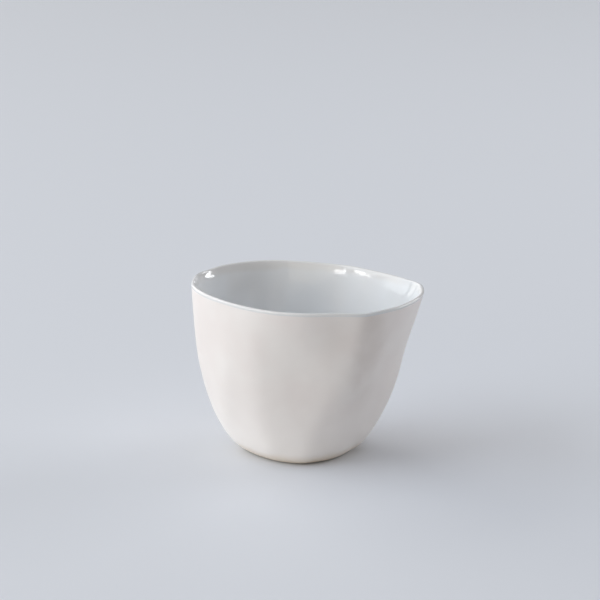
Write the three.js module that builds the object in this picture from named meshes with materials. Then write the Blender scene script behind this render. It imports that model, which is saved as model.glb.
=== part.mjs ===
// Hand-pinched porcelain dip bowl.
// One fired body, thin at the lip and thick at the heel, lined with a clear glaze that rolls over the lip.
// Millimetres, +Z up, +X along the pulled-out corner of the lip. The origin is the centre of the flat foot.

import * as THREE from "three";

// Form of the outside
const RIM_RADIUS = 39.2; // mean reach of the lip's crown from the foot's centre
const RIM_HEIGHT = 59.7; // mean height of the lip's crown
const SHOULDER_RADIUS = 35.5; // guide that the upper wall leans out from
const SHOULDER_HEIGHT = 20;
const HEEL_RADIUS = 24.6; // guide that rounds the wall up from the table
const FOOT_RADIUS = 18.4; // flat face that the bowl stands on, at the corners of its facets

// Facets
const FLATNESS = 0.46; // 0 leaves the wall round between two creases, 1 makes it flat
const OUTER_ROUND = 5; // degrees either side of a crease that its edge is rounded over outside
const INNER_ROUND = 14; // and inside, where the fingers smoothed it
const FACET_TOP = 0.72; // share of the height from which the facets fade out towards the lip

// Clay
const LIP_WALL = 1.2;
const BELLY_WALL = 2.6;
const FLOOR_WALL = 4.2;

// Glaze
const GLAZE_COAT = 0.25; // on the inside wall and the lip
const GLAZE_POOL = 0.8; // where it gathered on the floor
const GLAZE_ROLL = 0.6; // how far it runs down the outside, below the round of the lip
const GLAZE_EDGE = 0.1; // thickness of its edge there

// Fineness of the surfaces
const SLICES = 96;
const WALL_STEPS = 12;
const ROLL_STEPS = 2;
const LIP_STEPS = 5;

// The bowl as the fingers left it, going round from +X towards +Y.
// lip and shoulder are reaches beyond RIM_RADIUS and SHOULDER_RADIUS, rise is height above RIM_HEIGHT.
const STATIONS = [
  { bearing: 0, lip: 4.6, shoulder: 1.2, rise: -0.7 },
  { bearing: 8, lip: 4.4, shoulder: 1, rise: -0.6 },
  { bearing: 19, lip: 1.8, shoulder: 0, rise: -0.6 },
  { bearing: 42, lip: -2.7, shoulder: -1, rise: -0.3 },
  { bearing: 67, lip: -3.1, shoulder: -0.5, rise: -0.1 },
  { bearing: 91, lip: -2.3, shoulder: 0, rise: 0.2 },
  { bearing: 111, lip: 0.2, shoulder: 1.5, rise: 0.5 },
  { bearing: 131, lip: 0.5, shoulder: 2.5, rise: 0.7 },
  { bearing: 154, lip: 0.4, shoulder: 4, rise: 0.9 },
  { bearing: 174, lip: -1, shoulder: 4, rise: 0.9 },
  { bearing: 193, lip: -2.6, shoulder: 4, rise: 0.9 },
  { bearing: 218, lip: -4.3, shoulder: 2, rise: 0.7 },
  { bearing: 246, lip: -3.2, shoulder: 2, rise: 0.5 },
  { bearing: 270, lip: -0.8, shoulder: 0.5, rise: 0.2 },
  { bearing: 292, lip: 0.6, shoulder: 1, rise: -0.1 },
  { bearing: 303, lip: 2.8, shoulder: 2, rise: -0.5 },
  { bearing: 314, lip: 2.9, shoulder: 1.4, rise: -0.6 },
  { bearing: 325, lip: 3.8, shoulder: 0.5, rise: -0.5 },
  { bearing: 346, lip: 4.7, shoulder: 1.2, rise: -0.6 },
];

// The creases between the facets, going round. Each runs from its bearing at the foot to its bearing at the
// lip, and bends towards the bearing given for the belly on the way. Some of them draw together at the foot,
// whose outline has a corner there.
const CREASES = [
  { foot: 38, belly: 32, lip: 28 },
  { foot: 84, belly: 62, lip: 62 },
  { foot: 90, belly: 100, lip: 106 },
  { foot: 176, belly: 146, lip: 148 },
  { foot: 182, belly: 186, lip: 187 },
  { foot: 187, belly: 234, lip: 221 },
  { foot: 246, belly: 243, lip: 241 },
  { foot: 270, belly: 298, lip: 302 },
  { foot: 352, belly: 350, lip: 350 },
];

// Finger marks pressed into the outside wall, each a shallow round hollow.
const FINGER_MARKS = [
  { bearing: 262, height: 28, depth: 0.4, spread: 8 },
  { bearing: 284, height: 46, depth: 0.3, spread: 8 },
  { bearing: 326, height: 30, depth: 0.4, spread: 8 },
  { bearing: 358, height: 40, depth: 1.5, spread: 11 },
  { bearing: 60, height: 28, depth: 0.4, spread: 8 },
  { bearing: 104, height: 40, depth: 0.4, spread: 8 },
  { bearing: 142, height: 26, depth: 0.4, spread: 8 },
];

const { degToRad, radToDeg, lerp, smoothstep, euclideanModulo } = THREE.MathUtils;
const UP = new THREE.Vector3(0, 0, 1);

// A point at a distance from the bowl's axis, in a given direction and at a given height.
function polar(bearing, radius, height) {
  return new THREE.Vector3(radius * Math.cos(bearing), radius * Math.sin(bearing), height);
}

// A closed smooth guide through one point for each station.
function guide(pointOf) {
  const points = STATIONS.map((s) => pointOf(degToRad(s.bearing), s));
  return new THREE.CatmullRomCurve3(points, true, "centripetal");
}

const crownGuide = guide((bearing, s) => polar(bearing, RIM_RADIUS + s.lip, RIM_HEIGHT + s.rise));
const shoulderGuide = guide((bearing, s) => polar(bearing, SHOULDER_RADIUS + s.shoulder, SHOULDER_HEIGHT));

// How far a facet lies inside the round wall, as a share of the wall's radius: none at its two creases and
// most midway between them. Bearings are in degrees, and level goes from 0 at the foot to 1 at the lip.
function flattening(bearing, level) {
  const creases = CREASES.map(({ foot, belly, lip }) =>
    lerp(lerp(foot, belly, level), lerp(belly, lip, level), level),
  );
  const next = creases.find((crease) => crease > bearing) ?? creases[0] + 360;
  const last = creases.findLast((crease) => crease <= bearing) ?? creases.at(-1) - 360;
  const half = degToRad((next - last) / 2);
  const fromMiddle = degToRad(bearing - (next + last) / 2);
  return 1 - Math.cos(half) / Math.cos(fromMiddle);
}

// The flattening averaged over a few bearings, which rounds the creases.
function softFlattening(bearing, level, round) {
  const bearings = [-1, -0.5, 0, 0.5, 1].map((step) => euclideanModulo(bearing + step * round, 360));
  return bearings.reduce((sum, near) => sum + flattening(near, level), 0) / bearings.length;
}

// How far the wall was pressed in towards the axis, at a point of its round form.
function pressDepth(point, round) {
  const radius = Math.hypot(point.x, point.y);
  const bearing = radToDeg(Math.atan2(point.y, point.x));
  const level = Math.min(point.z / RIM_HEIGHT, 1);
  const fade = 1 - smoothstep(level, FACET_TOP, 1);
  const facet = FLATNESS * fade * radius * softFlattening(bearing, level, round);
  const marks = FINGER_MARKS.map((mark) => {
    const centre = polar(degToRad(mark.bearing), radius, mark.height);
    return mark.depth * Math.exp(-point.distanceToSquared(centre) / (mark.spread * mark.spread));
  });
  return marks.reduce((sum, depth) => sum + depth, facet);
}

// The curves of one slice of the bowl, as functions of the share of the way from the foot to the lip.
// around is how far round the lip's length the slice stands. The thin wall is pressed in as a whole, so the
// inside follows the outside, with softer creases.
function sliceAt(around) {
  const along = crownGuide.getUtoTmapping(around);
  const crown = crownGuide.getPoint(along);
  const shoulder = shoulderGuide.getPoint(along);
  const bearing = Math.atan2(crown.y, crown.x);
  const inward = polar(bearing, -1, 0);
  const lipCentre = crown.clone().addScaledVector(UP, -LIP_WALL / 2);

  const roundWall = (footRadius, heelRadius, floor, thickness, lipReach) =>
    new THREE.CubicBezierCurve3(
      polar(bearing, footRadius, floor),
      polar(bearing, heelRadius, floor),
      shoulder.clone().addScaledVector(inward, thickness),
      lipCentre.clone().addScaledVector(inward, lipReach),
    );
  const outer = roundWall(FOOT_RADIUS, HEEL_RADIUS, 0, 0, -LIP_WALL / 2);
  const pressed = (curve, share, round) =>
    curve.getPoint(share).addScaledVector(inward, pressDepth(outer.getPoint(share), round));

  const outside = (share) => pressed(outer, share, OUTER_ROUND);
  const insideWith = (coat, pool) => {
    const wall = BELLY_WALL + coat;
    const floor = FLOOR_WALL + pool;
    const inner = roundWall(FOOT_RADIUS - wall, HEEL_RADIUS - wall, floor, wall, LIP_WALL / 2 + coat);
    return (share) => pressed(inner, share, INNER_ROUND);
  };
  // At its end a cubic covers three times its last leg for each unit of share.
  const rollStart = 1 - GLAZE_ROLL / (3 * outer.v2.distanceTo(outer.v3));
  return { outside, insideWith, rollStart, lipCentre, inward };
}

// The half round of the lip, from its outer to its inner side, without its two ends.
function lipRound({ lipCentre, inward }, coat) {
  const radius = LIP_WALL / 2 + coat;
  return Array.from({ length: LIP_STEPS - 1 }, (_, i) => {
    const angle = (Math.PI * (i + 1)) / LIP_STEPS;
    return lipCentre
      .clone()
      .addScaledVector(inward, -radius * Math.cos(angle))
      .addScaledVector(UP, radius * Math.sin(angle));
  });
}

// Points at even steps along a stretch of a curve, both ends included.
function stretch(curve, from, to, steps) {
  return Array.from({ length: steps + 1 }, (_, i) => curve(lerp(from, to, i / steps)));
}

// The surface that clay and glaze share: up under the roll, over the lip and down the inside to the floor.
function glazedFace(slice) {
  return [
    ...stretch(slice.outside, slice.rollStart, 1, ROLL_STEPS),
    ...lipRound(slice, 0),
    ...stretch(slice.insideWith(0, 0), 1, 0, WALL_STEPS),
  ];
}

// The open surface of the glaze: from the floor up the inside, over the lip and down to its thin edge.
function glazeSurface(slice) {
  const roll = stretch(slice.outside, 1, slice.rollStart, ROLL_STEPS).map((point, i) => {
    const coat = lerp(GLAZE_COAT, GLAZE_EDGE, i / ROLL_STEPS);
    return point.addScaledVector(slice.inward, -coat);
  });
  return [
    ...stretch(slice.insideWith(GLAZE_COAT, GLAZE_POOL), 0, 1, WALL_STEPS),
    ...lipRound(slice, GLAZE_COAT).reverse(),
    ...roll,
  ];
}

// A closed solid from slices that all start at one point on the axis and end at another.
function loft(first, slices, last, facing) {
  const rows = slices[0].length;
  const corner = (slice, row) => (slice % slices.length) * rows + row;
  const firstPole = slices.length * rows;
  const lastPole = firstPole + 1;
  const triangles = [];
  const addTriangle = (a, b, c) => triangles.push(...(facing > 0 ? [a, b, c] : [a, c, b]));

  slices.forEach((_, s) => {
    addTriangle(firstPole, corner(s + 1, 0), corner(s, 0));
    for (let row = 0; row < rows - 1; row++) {
      addTriangle(corner(s, row), corner(s + 1, row), corner(s, row + 1));
      addTriangle(corner(s + 1, row), corner(s + 1, row + 1), corner(s, row + 1));
    }
    addTriangle(lastPole, corner(s, rows - 1), corner(s + 1, rows - 1));
  });

  const geometry = new THREE.BufferGeometry().setFromPoints([...slices.flat(), first, last]);
  geometry.setIndex(triangles);
  geometry.computeVertexNormals();
  return geometry;
}

const slices = Array.from({ length: SLICES }, (_, i) => sliceAt(i / SLICES));
const floorCentre = UP.clone().multiplyScalar(FLOOR_WALL);

function porcelainBody() {
  const profiles = slices.map((slice) => [
    ...stretch(slice.outside, 0, slice.rollStart, WALL_STEPS).slice(0, -1),
    ...glazedFace(slice),
  ]);
  const geometry = loft(new THREE.Vector3(), profiles, floorCentre, 1);
  const material = new THREE.MeshStandardMaterial({ color: 0xe9e4df, roughness: 0.5, metalness: 0 });
  const mesh = new THREE.Mesh(geometry, material);
  mesh.name = "porcelain_body";
  return mesh;
}

function glazeLiner() {
  const profiles = slices.map((slice) => [...glazeSurface(slice), ...glazedFace(slice)]);
  const poolCentre = floorCentre.clone().addScaledVector(UP, GLAZE_POOL);
  const geometry = loft(poolCentre, profiles, floorCentre, -1);
  const material = new THREE.MeshStandardMaterial({ color: 0xe3e8ea, roughness: 0.12, metalness: 0 });
  const mesh = new THREE.Mesh(geometry, material);
  mesh.name = "glaze_liner";
  return mesh;
}

const dipBowl = new THREE.Group();
dipBowl.name = "dip_bowl";
dipBowl.add(porcelainBody(), glazeLiner());

export default dipBowl;
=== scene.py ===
import math

import bpy
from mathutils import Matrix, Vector
from mathutils.kdtree import KDTree


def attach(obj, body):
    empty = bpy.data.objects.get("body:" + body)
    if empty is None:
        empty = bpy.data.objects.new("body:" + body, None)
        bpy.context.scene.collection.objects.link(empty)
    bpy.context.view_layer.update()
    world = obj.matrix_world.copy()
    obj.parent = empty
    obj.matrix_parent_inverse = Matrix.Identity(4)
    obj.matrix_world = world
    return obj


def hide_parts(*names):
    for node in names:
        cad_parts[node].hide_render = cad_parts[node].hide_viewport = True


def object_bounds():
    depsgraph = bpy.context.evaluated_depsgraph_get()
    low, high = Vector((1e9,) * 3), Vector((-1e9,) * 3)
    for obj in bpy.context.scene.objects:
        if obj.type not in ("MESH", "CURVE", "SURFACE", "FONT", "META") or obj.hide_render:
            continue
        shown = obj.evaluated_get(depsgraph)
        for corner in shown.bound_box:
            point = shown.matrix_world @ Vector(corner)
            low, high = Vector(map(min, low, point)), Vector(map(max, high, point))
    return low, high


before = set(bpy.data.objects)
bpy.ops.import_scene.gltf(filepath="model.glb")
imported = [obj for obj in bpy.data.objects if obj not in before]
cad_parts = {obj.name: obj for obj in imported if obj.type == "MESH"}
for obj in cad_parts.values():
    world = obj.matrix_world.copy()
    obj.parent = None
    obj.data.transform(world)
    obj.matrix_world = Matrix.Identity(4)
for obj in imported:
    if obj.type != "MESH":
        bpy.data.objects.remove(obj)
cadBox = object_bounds()
print("frame loaded, box", [[round(x, 4) for x in corner] for corner in cadBox])


# helpers

def onlySelect(piece):
    bpy.ops.object.select_all(action="DESELECT")
    piece.select_set(True)
    bpy.context.view_layer.objects.active = piece


def selectFaces(piece, wanted):  # called in edit mode, leaves face select on
    bpy.ops.mesh.select_mode(type="FACE")
    bpy.ops.mesh.select_all(action="DESELECT")
    bpy.ops.object.mode_set(mode="OBJECT")
    for face in piece.data.polygons:
        face.select = wanted(face)
    bpy.ops.object.mode_set(mode="EDIT")


def applyModifier(piece, kind, **settings):
    onlySelect(piece)
    modifier = piece.modifiers.new(kind.lower(), kind)
    for name, value in settings.items():
        setattr(modifier, name, value)
    bpy.ops.object.modifier_apply(modifier=modifier.name)


# both pieces start as clean copies of the solids

retopo = {
    "mergeGap": 2e-6,       # the CAD triangles are loose
    "flatNormal": 0.9999,   # faces this level are the foot and floor discs
    "discBelow": 0.01,      # leaves out the lip's crown, which is level too
    "discRings": 2,         # rings inside each disc
    "discShrink": (0.7, 0.7, 1),
    "pairWithin": math.pi,  # triangles pair at any angle
    "gridPull": 2.0,        # and along the loft's rows
    "subdivision": 2,
}


def isDisc(face):
    return abs(face.normal.z) > retopo["flatNormal"] and face.center.z < retopo["discBelow"]


def quadCopy(node, name):  # a CAD node as clean quads
    piece = bpy.data.objects.new(name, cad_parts[node].data.copy())
    bpy.context.collection.objects.link(piece)
    piece.data.materials.clear()
    onlySelect(piece)
    bpy.ops.mesh.customdata_custom_splitnormals_clear()
    bpy.ops.object.mode_set(mode="EDIT")
    bpy.ops.mesh.select_all(action="SELECT")
    bpy.ops.mesh.remove_doubles(threshold=retopo["mergeGap"])
    selectFaces(piece, isDisc)
    bpy.ops.mesh.dissolve_faces()
    bpy.ops.mesh.select_all(action="INVERT")
    bpy.ops.mesh.tris_convert_to_quads(
        face_threshold=retopo["pairWithin"], shape_threshold=retopo["pairWithin"],
        topology_influence=retopo["gridPull"],
    )
    bpy.ops.mesh.select_all(action="INVERT")
    for _ in range(retopo["discRings"]):
        bpy.ops.mesh.extrude_region()
        bpy.ops.transform.resize(value=retopo["discShrink"], center_override=(0, 0, 0))
    bpy.ops.object.mode_set(mode="OBJECT")
    return piece


def smooth(piece):
    applyModifier(
        piece, "SUBSURF", levels=retopo["subdivision"], render_levels=retopo["subdivision"]
    )
    bpy.ops.object.shade_smooth()
    print(piece.name, len(piece.data.polygons), "faces")


# the glaze drew thin over the lip as it melted, and its edge on the outside feathers out

lipMelt = {
    "above": 0.0572,        # the lip and the roll below it
    "apart": 0.00001,       # nearer points are shared with the clay
    "thinner": 0.00016,
}


def thinLip(glaze, clay):
    clayPoints = KDTree(len(clay.data.vertices))
    for vertex in clay.data.vertices:
        clayPoints.insert(vertex.co, vertex.index)
    clayPoints.balance()
    onlySelect(glaze)
    bpy.ops.object.mode_set(mode="EDIT")
    bpy.ops.mesh.select_mode(type="VERT")
    bpy.ops.mesh.select_all(action="DESELECT")
    bpy.ops.object.mode_set(mode="OBJECT")
    for vertex in glaze.data.vertices:
        gap = clayPoints.find(vertex.co)[2]
        vertex.select = vertex.co.z > lipMelt["above"] and gap > lipMelt["apart"]
    bpy.ops.object.mode_set(mode="EDIT")
    bpy.ops.transform.shrink_fatten(value=-lipMelt["thinner"])
    bpy.ops.object.mode_set(mode="OBJECT")


# the uneven touch of the fingers, one field for clay and glaze so that they stay together

touch = {
    "swing": 0.00035,       # from furthest in to furthest out, along each axis
    "neutral": 0.5,         # the field's value where the wall stays
    "patch": 0.013,         # across one touch
    "detail": 1,
    "still": 0.002,         # the foot stays flat below this height
    "full": 0.012,          # and the wall moves freely above this one
}


def makeTouch():
    field = bpy.data.textures.new("fingerTouch", "CLOUDS")
    field.cloud_type = "COLOR"
    field.noise_scale = touch["patch"]
    field.noise_depth = touch["detail"]
    return field


def unevenWall(piece, field):
    freeWall = piece.vertex_groups.new(name="freeWall")
    for vertex in piece.data.vertices:
        rise = (vertex.co.z - touch["still"]) / (touch["full"] - touch["still"])
        freeWall.add([vertex.index], min(max(rise, 0), 1), "REPLACE")
    applyModifier(
        piece, "DISPLACE", texture=field, texture_coords="LOCAL", direction="RGB_TO_XYZ",
        strength=touch["swing"], mid_level=touch["neutral"], vertex_group="freeWall",
    )
    piece.vertex_groups.clear()


# where a thumb pressed the lip out and down, and where the heel was left fuller

presses = {
    "lip": {
        "at": (-0.0339, 0.0203, 0.0604),
        "along": 0.0090,        # reach round the wall
        "upright": 0.0036,      # reach up and down
        "move": (-0.00060, 0.00038, -0.00055),
    },
    "heel": {
        "at": (0.0062, -0.0173, 0.0),
        "along": 0.0170,
        "upright": 0.0110,
        "move": (0.00085, -0.00180, 0.0),
    },
}
pressFade = {"along": 3, "upright": 2, "edge": 2}  # powers, for a flat middle and a soft edge


def pressWall(piece, press):
    pressed = piece.vertex_groups.new(name="pressed")
    for vertex in piece.data.vertices:
        gap = vertex.co - Vector(press["at"])
        far = (gap.xy.length / press["along"]) ** pressFade["along"]
        far += (gap.z / press["upright"]) ** pressFade["upright"]
        pressed.add([vertex.index], max(1 - far, 0) ** pressFade["edge"], "REPLACE")
    for axis, distance in zip("XYZ", press["move"]):
        if distance:
            applyModifier(
                piece, "DISPLACE", direction=axis, strength=distance, mid_level=0.0,
                vertex_group="pressed",
            )
    piece.vertex_groups.clear()


# shared effects

numberSocket = "NodeSocketFloat"
vectorSocket = "NodeSocketVector"


def newGroup(name, inputs, outputs):
    group = bpy.data.node_groups.new(name, "ShaderNodeTree")
    for way, sockets in (("INPUT", inputs), ("OUTPUT", outputs)):
        for label, kind in sockets.items():
            group.interface.new_socket(label, in_out=way, socket_type=kind)
    start = group.nodes.new("NodeGroupInput")
    end = group.nodes.new("NodeGroupOutput")
    return group, group.nodes, group.links, start.outputs, end.inputs


cloudLayers = {  # each layer's span of noise is widened to run from 0 to 1
    "Patches": {"scale": "Patch Scale", "detail": 2.0, "span": (0.34, 0.66)},
    "Grain": {"scale": "Grain Scale", "detail": 4.0, "span": (0.25, 0.75)},
}


def makeClouding():  # broad patches and a fine grain, both 0 to 1
    group, nodes, links, given, result = newGroup(
        "clouding",
        {"Place": vectorSocket, "Patch Scale": numberSocket, "Grain Scale": numberSocket},
        {"Patches": numberSocket, "Grain": numberSocket},
    )
    for out, layer in cloudLayers.items():
        noise = nodes.new("ShaderNodeTexNoise")
        noise.inputs["Detail"].default_value = layer["detail"]
        links.new(given["Place"], noise.inputs["Vector"])
        links.new(given[layer["scale"]], noise.inputs["Scale"])
        widen = nodes.new("ShaderNodeMapRange")
        for end, value in zip(("From Min", "From Max"), layer["span"]):
            widen.inputs[end].default_value = value
        links.new(noise.outputs["Fac"], widen.inputs["Value"])
        links.new(widen.outputs["Result"], result[out])
    return group


fadeEdge = {"detail": 2.0, "middle": 0.5}  # the edge wanders either side of the noise's middle


def makeHeightFade():  # 0 at one height, 1 at the other, with an edge that wanders
    group, nodes, links, given, result = newGroup(
        "heightFade",
        {"Place": vectorSocket, "Zero At": numberSocket, "One At": numberSocket,
         "Wander": numberSocket, "Wander Scale": numberSocket},
        {"Mask": numberSocket},
    )
    split = nodes.new("ShaderNodeSeparateXYZ")
    links.new(given["Place"], split.inputs["Vector"])
    noise = nodes.new("ShaderNodeTexNoise")
    noise.inputs["Detail"].default_value = fadeEdge["detail"]
    links.new(given["Place"], noise.inputs["Vector"])
    links.new(given["Wander Scale"], noise.inputs["Scale"])
    centred = nodes.new("ShaderNodeMath")
    centred.operation = "SUBTRACT"
    centred.inputs[1].default_value = fadeEdge["middle"]
    links.new(noise.outputs["Fac"], centred.inputs[0])
    moved = nodes.new("ShaderNodeMath")
    moved.operation = "MULTIPLY_ADD"
    links.new(centred.outputs["Value"], moved.inputs[0])
    links.new(given["Wander"], moved.inputs[1])
    links.new(split.outputs["Z"], moved.inputs[2])
    fade = nodes.new("ShaderNodeMapRange")
    fade.interpolation_type = "SMOOTHSTEP"
    links.new(moved.outputs["Value"], fade.inputs["Value"])
    links.new(given["Zero At"], fade.inputs["From Min"])
    links.new(given["One At"], fade.inputs["From Max"])
    links.new(fade.outputs["Result"], result["Mask"])
    return group


spotEdge = {
    "stretch": (1.0, 1.0, 0.6),     # below 1 makes the spot taller
    "frayScale": 130.0,
    "fray": 0.006,                  # how far the edge is drawn in
    "full": 0.002,                  # the mask is 1 nearer than this, fray included
}


def makeSoftSpot():  # 1 at the centre, 0 beyond the reach, stretched upright, with a frayed edge
    group, nodes, links, given, result = newGroup(
        "softSpot",
        {"Place": vectorSocket, "Centre": vectorSocket, "Reach": numberSocket},
        {"Mask": numberSocket},
    )
    noise = nodes.new("ShaderNodeTexNoise")
    noise.inputs["Scale"].default_value = spotEdge["frayScale"]
    links.new(given["Place"], noise.inputs["Vector"])
    offset = nodes.new("ShaderNodeVectorMath")
    offset.operation = "SUBTRACT"
    links.new(given["Place"], offset.inputs[0])
    links.new(given["Centre"], offset.inputs[1])
    upright = nodes.new("ShaderNodeMapping")
    upright.inputs["Scale"].default_value = spotEdge["stretch"]
    links.new(offset.outputs["Vector"], upright.inputs["Vector"])
    length = nodes.new("ShaderNodeVectorMath")
    length.operation = "LENGTH"
    links.new(upright.outputs["Vector"], length.inputs[0])
    frayed = nodes.new("ShaderNodeMath")
    frayed.operation = "MULTIPLY_ADD"
    links.new(noise.outputs["Fac"], frayed.inputs[0])
    frayed.inputs[1].default_value = spotEdge["fray"]
    links.new(length.outputs["Value"], frayed.inputs[2])
    fade = nodes.new("ShaderNodeMapRange")
    fade.interpolation_type = "SMOOTHSTEP"
    fade.inputs["From Max"].default_value = spotEdge["full"]
    links.new(frayed.outputs["Value"], fade.inputs["Value"])
    links.new(given["Reach"], fade.inputs["From Min"])
    links.new(fade.outputs["Result"], result["Mask"])
    return group


clouding = makeClouding()
heightFade = makeHeightFade()
softSpot = makeSoftSpot()
print("shared effects made")


# materials

def newMaterial(name):
    material = bpy.data.materials.new(name)
    material.use_nodes = True
    nodes = material.node_tree.nodes
    return material, nodes, material.node_tree.links, nodes["Principled BSDF"]


def placed(nodes, links, group, place, **values):  # a group node on the piece's own coordinates
    node = nodes.new("ShaderNodeGroup")
    node.node_tree = group
    links.new(place, node.inputs["Place"])
    for label, value in values.items():
        node.inputs[label].default_value = value
    return node.outputs


def streaked(nodes, links, place, scale, detail):  # noise drawn out upright
    along = nodes.new("ShaderNodeMapping")
    along.inputs["Scale"].default_value = scale
    links.new(place, along.inputs["Vector"])
    noise = nodes.new("ShaderNodeTexNoise")
    noise.inputs["Scale"].default_value = 1.0
    noise.inputs["Detail"].default_value = detail
    links.new(along.outputs["Vector"], noise.inputs["Vector"])
    return noise.outputs["Fac"]


def mixed(nodes, links, share, first, second):
    mix = nodes.new("ShaderNodeMix")
    mix.data_type = "RGBA"
    links.new(share, mix.inputs["Factor"])
    for socket, colour in (("A", first), ("B", second)):
        target = next(s for s in mix.inputs if s.name == socket and s.type == "RGBA")
        if isinstance(colour, tuple):
            target.default_value = colour
        else:
            links.new(colour, target)
    return next(s for s in mix.outputs if s.type == "RGBA")


def ranged(nodes, links, value, low, high):
    span = nodes.new("ShaderNodeMapRange")
    span.inputs["To Min"].default_value = low
    span.inputs["To Max"].default_value = high
    links.new(value, span.inputs["Value"])
    return span.outputs["Result"]


def paintedSpots(nodes, links, place, colour, look):  # soft spots of painted shade and painted light, in the look's listed tones
    for tone, spots in look["spots"].items():
        for centre, reach, share in spots:
            spot = placed(nodes, links, softSpot, place, Centre=centre, Reach=reach)
            cover = ranged(nodes, links, spot["Mask"], 0.0, share)
            colour = mixed(nodes, links, cover, colour, look[tone])
    return colour


def bumped(nodes, links, shader, layers, depth, strength):  # layers of (height, share), summed
    total = None
    for height, share in layers:
        step = nodes.new("ShaderNodeMath")
        step.operation = "MULTIPLY_ADD"
        links.new(height, step.inputs[0])
        step.inputs[1].default_value = share
        step.inputs[2].default_value = 0.0
        if total:
            links.new(total, step.inputs[2])
        total = step.outputs["Value"]
    bump = nodes.new("ShaderNodeBump")
    bump.inputs["Distance"].default_value = depth
    bump.inputs["Strength"].default_value = strength
    links.new(total, bump.inputs["Height"])
    links.new(bump.outputs["Normal"], shader.inputs["Normal"])


porcelain = {
    "white": (0.848, 0.806, 0.772, 1),
    "blush": (0.800, 0.728, 0.695, 1),      # faint rosy patches
    "blushShare": 0.55,
    "paintedCreaseShade": (0.700, 0.642, 0.600, 1),      # painted shade: darker, warm spots down the front-right crease, where the wall turns from the light
    "heel": (0.950, 0.905, 0.865, 1),       # painted light: lighter low on the wall, as light comes up from the floor, and in pale spots
    "paintedLowLightFade": {"Zero At": 0.0280, "One At": 0.0050, "Wander": 0.0060, "Wander Scale": 90.0},
    "footBandColour": (0.83, 0.735, 0.62, 1),     # warmer and darker in a band at the very foot
    "footBandFade": {"Zero At": 0.0050, "One At": 0.0002, "Wander": 0.0024, "Wander Scale": 160.0},
    "spots": {                              # centre, reach, share
        "paintedCreaseShade": [
            ((0.025, -0.034, 0.056), 0.012, 0.80),
            ((0.026, -0.030, 0.046), 0.013, 0.80),
            ((0.023, -0.029, 0.038), 0.012, 0.65),
            ((0.022, -0.025, 0.027), 0.012, 0.35),
            ((0.012, -0.036, 0.049), 0.013, 0.45),
        ],
        "heel": [
            ((-0.011, -0.031, 0.027), 0.013, 0.40),
            ((0.007, -0.033, 0.032), 0.015, 0.45),
            ((0.004, -0.035, 0.042), 0.011, 0.40),
            ((0.033, -0.013, 0.031), 0.012, 0.35),
        ],
    },
    "clouds": {
        "Patch Scale": 55.0,                # 1/m, patches about 18 mm across
        "Grain Scale": 1900.0,              # grain about half a millimetre
    },
    "wipeScale": (420.0, 420.0, 60.0),      # upright marks of the wet fingers
    "wipeDetail": 2.0,
    "roughness": (0.30, 0.42),
    "footBandRougher": 0.3,                     # added in that foot band
    "grainShare": 0.5,
    "wipeShare": 0.9,
    "bumpDepth": 0.00004,
    "bumpStrength": 0.35,
}


def makePorcelain():
    material, nodes, links, shader = newMaterial("satinPorcelain")
    place = nodes.new("ShaderNodeTexCoord").outputs["Object"]
    clouds = placed(nodes, links, clouding, place, **porcelain["clouds"])
    footBand = placed(nodes, links, heightFade, place, **porcelain["footBandFade"])
    paintedLowLight = placed(nodes, links, heightFade, place, **porcelain["paintedLowLightFade"])
    wipe = streaked(nodes, links, place, porcelain["wipeScale"], porcelain["wipeDetail"])

    rosy = ranged(nodes, links, clouds["Patches"], 0.0, porcelain["blushShare"])
    body = mixed(nodes, links, rosy, porcelain["white"], porcelain["blush"])
    # painted shade down the front-right crease and painted light in pale spots
    spotted = paintedSpots(nodes, links, place, body, porcelain)
    # painted light, lighter low on the wall and in pale spots
    heel = mixed(nodes, links, paintedLowLight["Mask"], spotted, porcelain["heel"])
    colour = mixed(nodes, links, footBand["Mask"], heel, porcelain["footBandColour"])
    links.new(colour, shader.inputs["Base Color"])

    rougher = nodes.new("ShaderNodeMath")
    rougher.operation = "MULTIPLY_ADD"
    links.new(footBand["Mask"], rougher.inputs[0])
    rougher.inputs[1].default_value = porcelain["footBandRougher"]
    links.new(ranged(nodes, links, wipe, *porcelain["roughness"]), rougher.inputs[2])
    links.new(rougher.outputs["Value"], shader.inputs["Roughness"])

    layers = [(clouds["Grain"], porcelain["grainShare"]), (wipe, porcelain["wipeShare"])]
    bumped(nodes, links, shader, layers, porcelain["bumpDepth"], porcelain["bumpStrength"])
    return material


glazing = {
    "lining": (0.82, 0.84, 0.865, 1),
    "cooler": (0.78, 0.815, 0.85, 1),       # where it lies thicker
    "coolerShare": 0.8,
    "warmer": (0.81, 0.798, 0.788, 1),      # upright bands where it ran thin
    "warmerShare": 0.7,
    "bandScale": (95.0, 95.0, 12.0),
    "bandDetail": 1.0,
    "pool": (0.70, 0.745, 0.735, 1),        # gathered on the floor
    "poolFade": {"Zero At": 0.0160, "One At": 0.0060, "Wander": 0.0040, "Wander Scale": 70.0},
    "lip": (0.775, 0.768, 0.762, 1),        # thin over the edge, so the clay shows, and darker as painted shade on the up-facing lip
    "thinAndShadedLipFade": {"Zero At": 0.0560, "One At": 0.0585, "Wander": 0.0030, "Wander Scale": 90.0},
    "paintedGlazeShade": (0.66, 0.69, 0.72, 1),         # painted shade: darker in the lip's corner that faces the lamps, at the front lip and on the back wall
    "paintedLipLight": (0.96, 0.965, 0.97, 1),        # painted light: the left end of the lip made lighter
    "spots": {                              # centre, reach, share
        "paintedGlazeShade": [
            ((0.040, 0.008, 0.055), 0.018, 0.65),
            ((0.003, 0.034, 0.043), 0.017, 0.45),
            ((0.025, -0.034, 0.059), 0.016, 0.45),
        ],
        "paintedLipLight": [((-0.037, 0.006, 0.060), 0.015, 1.0)],
    },
    "clouds": {
        "Patch Scale": 70.0,
        "Grain Scale": 420.0,               # ripples about 2 mm across
    },
    "roughness": (0.06, 0.12),
    "refraction": 1.52,
    "rippleShare": 1.0,
    "bumpDepth": 0.00003,
    "bumpStrength": 0.25,
}


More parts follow.
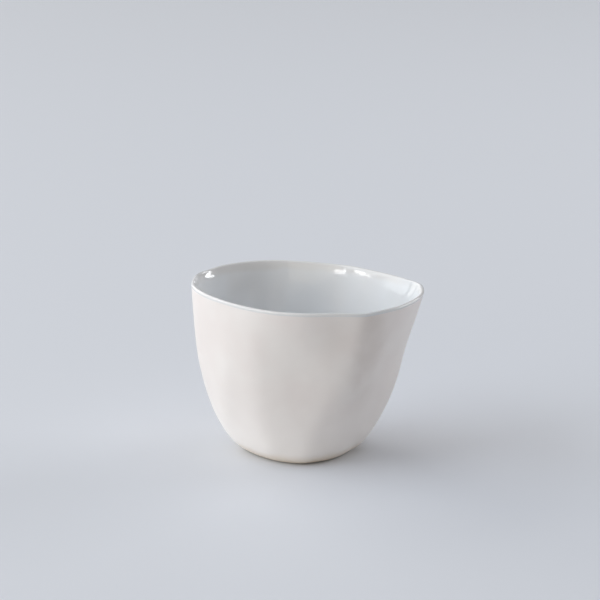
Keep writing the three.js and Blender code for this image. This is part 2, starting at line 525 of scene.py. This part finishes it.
def makeGlaze():
    material, nodes, links, shader = newMaterial("clearGlaze")
    place = nodes.new("ShaderNodeTexCoord").outputs["Object"]
    clouds = placed(nodes, links, clouding, place, **glazing["clouds"])
    thinAndShadedLip = placed(nodes, links, heightFade, place, **glazing["thinAndShadedLipFade"])
    deep = placed(nodes, links, heightFade, place, **glazing["poolFade"])
    bands = streaked(nodes, links, place, glazing["bandScale"], glazing["bandDetail"])

    uneven = ranged(nodes, links, clouds["Patches"], 0.0, glazing["coolerShare"])
    cool = mixed(nodes, links, uneven, glazing["lining"], glazing["cooler"])
    banded = ranged(nodes, links, bands, 0.0, glazing["warmerShare"])
    lining = mixed(nodes, links, banded, cool, glazing["warmer"])
    pooled = mixed(nodes, links, deep["Mask"], lining, glazing["pool"])
    # partly painted shade: the lip darker than the lining
    lipped = mixed(nodes, links, thinAndShadedLip["Mask"], pooled, glazing["lip"])
    # painted shade in spots and painted light at the lip's left end
    colour = paintedSpots(nodes, links, place, lipped, glazing)
    links.new(colour, shader.inputs["Base Color"])

    rough = ranged(nodes, links, clouds["Patches"], *glazing["roughness"])
    links.new(rough, shader.inputs["Roughness"])
    shader.inputs["IOR"].default_value = glazing["refraction"]
    layers = [(clouds["Grain"], glazing["rippleShare"])]
    bumped(nodes, links, shader, layers, glazing["bumpDepth"], glazing["bumpStrength"])
    return material


# the bowl

fingerTouch = makeTouch()


def shapeByHand(piece):
    smooth(piece)
    unevenWall(piece, fingerTouch)
    for press in presses.values():
        pressWall(piece, press)


clay = quadCopy("porcelain_body", "clayBody")
glaze = quadCopy("glaze_liner", "glazeLining")
thinLip(glaze, clay)

shapeByHand(clay)
clay.data.materials.append(makePorcelain())
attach(clay, "root")
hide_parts("porcelain_body")

shapeByHand(glaze)
glaze.data.materials.append(makeGlaze())
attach(glaze, "root")
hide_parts("glaze_liner")
print("bowl made")


# floor, light and camera

floorSet = {"side": 8.0, "colour": (0.70, 0.722, 0.765, 1), "roughness": 0.6}


def makeFloor():
    bpy.ops.object.select_all(action="DESELECT")
    bpy.ops.mesh.primitive_plane_add(size=floorSet["side"], location=(0, 0, 0))
    floor = bpy.context.object
    floor.name = "floor"
    material, _, _, shader = newMaterial("paleFloor")
    shader.inputs["Base Color"].default_value = floorSet["colour"]
    shader.inputs["Roughness"].default_value = floorSet["roughness"]
    floor.data.materials.append(material)


softboxes = {
    "window": {
        "at": (-2.80, -0.40, 1.50), "size": (3.4, 2.6),
        "watts": 69.0, "colour": (0.90, 0.95, 1.0),
    },
    "backWindow": {
        "at": (-2.00, 2.00, 1.20), "size": (2.4, 2.0),
        "watts": 33.0, "colour": (1.0, 0.98, 0.93),
    },
    "ceiling": {
        "at": (0.0, 0.0, 1.70), "size": (1.8, 1.8),
        "watts": 8.6, "colour": (0.85, 0.90, 1.0),
    },
    "rightFill": {
        "at": (1.22, 0.62, 0.46), "size": (0.90, 0.18),
        "watts": 5.8, "colour": (0.97, 0.98, 1.0),
    },
    "frontFill": {
        "at": (-0.75, -1.30, 0.35), "size": (1.2, 0.6),
        "watts": 3.0, "colour": (1.0, 0.90, 0.72),
    },
    "lowStrip": {  # this and the next make the two highlights under the far lip
        "at": (-1.10, -0.85, 0.155), "size": (0.36, 0.05),
        "watts": 0.60, "colour": (1.0, 0.98, 0.97),
    },
    "lowSpot": {
        "at": (-1.32, -0.43, 0.15), "size": (0.14, 0.05),
        "watts": 0.25, "colour": (1.0, 1.0, 1.0),
    },
}
roomLight = {"colour": (1.0, 0.97, 0.95, 1), "strength": 0.24}


def makeLights():
    aim = (cadBox[0] + cadBox[1]) / 2
    for name, box in softboxes.items():
        bpy.ops.object.light_add(type="AREA", location=box["at"])
        lamp = bpy.context.object
        lamp.name = name
        lamp.data.shape = "RECTANGLE"
        lamp.data.size, lamp.data.size_y = box["size"]
        lamp.data.energy = box["watts"]
        lamp.data.color = box["colour"]
        lamp.visible_camera = False
        lamp.rotation_euler = (aim - lamp.location).to_track_quat("-Z", "Y").to_euler()
    world = bpy.data.worlds.new("room")
    world.use_nodes = True
    background = world.node_tree.nodes["Background"]
    background.inputs["Color"].default_value = roomLight["colour"]
    background.inputs["Strength"].default_value = roomLight["strength"]
    bpy.context.scene.world = world


photoView = {
    "height": 0.3513,       # lens above the floor
    "distance": 1.1379,     # lens in front of the foot's centre
    "aside": 0.0002,
    "tilt": 14.607,         # degrees below level
    "lens": 198.0,          # mm
    "sensor": 36.0,         # mm
}


def makeCamera():
    place = (photoView["aside"], -photoView["distance"], photoView["height"])
    tilt = math.radians(90 - photoView["tilt"])
    bpy.ops.object.camera_add(location=place, rotation=(tilt, 0, 0))
    camera = bpy.context.object
    camera.data.lens = photoView["lens"]
    camera.data.sensor_width = photoView["sensor"]
    bpy.context.scene.camera = camera


makeFloor()
makeLights()
makeCamera()
bpy.context.scene.view_settings.view_transform = "Standard"
print("stage set")
